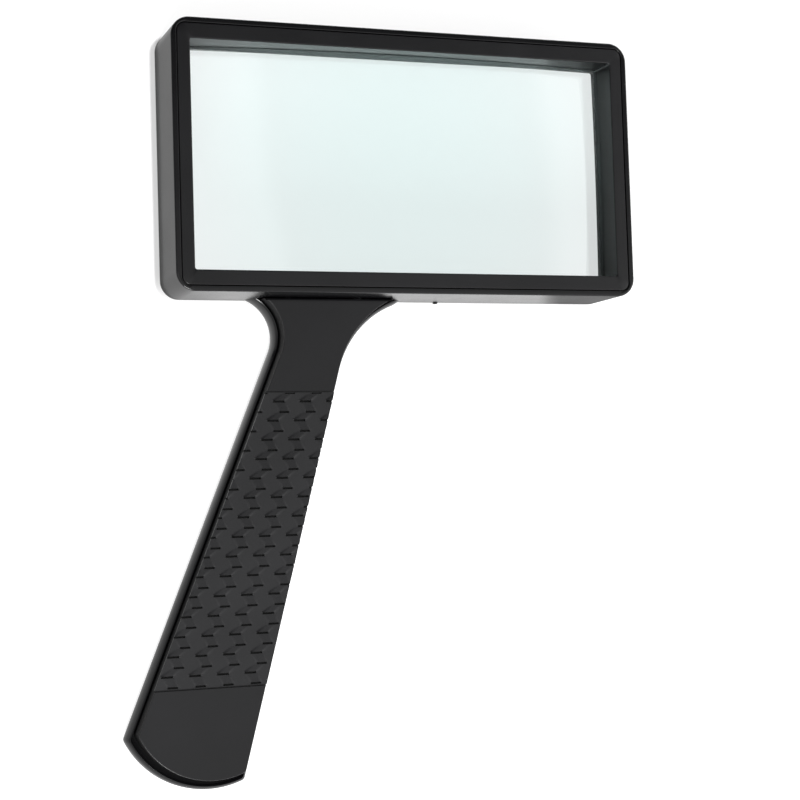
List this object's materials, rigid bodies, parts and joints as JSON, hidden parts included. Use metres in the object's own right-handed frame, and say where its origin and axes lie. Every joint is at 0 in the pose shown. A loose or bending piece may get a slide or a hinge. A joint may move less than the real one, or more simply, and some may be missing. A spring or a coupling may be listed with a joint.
{
  "type": "magnifying glass",
  "caption": "Hand-held reading magnifier: a rectangular lens in a deep box frame with a flared, leaning handle and a ribbed grip.",
  "frame": {"origin": "the middle of the whole object's footprint, on the face that it rests on when it lies on its back", "axes": "+X runs along the frame's long side to the right, +Y runs from the handle's end to the frame, and +Z points out of the front of the lens"},
  "size_m": [0.119, 0.1664, 0.017],
  "materials": {
    "frame_plastic": "glossy black moulded plastic",
    "bezel_plastic": "semi-gloss black moulded plastic",
    "cover_plastic": "satin black moulded plastic",
    "grip_plastic": "satin black plastic with raised zigzag ribs",
    "lens_acrylic": "clear polished acrylic with a faint cyan tint",
    "seal": "dull black rubber",
    "screw_steel": "bright zinc-plated steel"
  },
  "bodies": {
    "root": {"frame_shell": "frame_plastic", "front_bezel": "bezel_plastic", "lens": "lens_acrylic", "front_lens_seal": "seal", "rear_lens_seal": "seal", "handle_back_shell": "frame_plastic", "handle_front_cover": "cover_plastic", "grip_pad": "grip_plastic", "neck_screw_left": "screw_steel", "neck_screw_right": "screw_steel", "handle_screw_neck": "screw_steel", "handle_screw_middle": "screw_steel", "handle_screw_end": "screw_steel"}
  },
  "joints": []
}
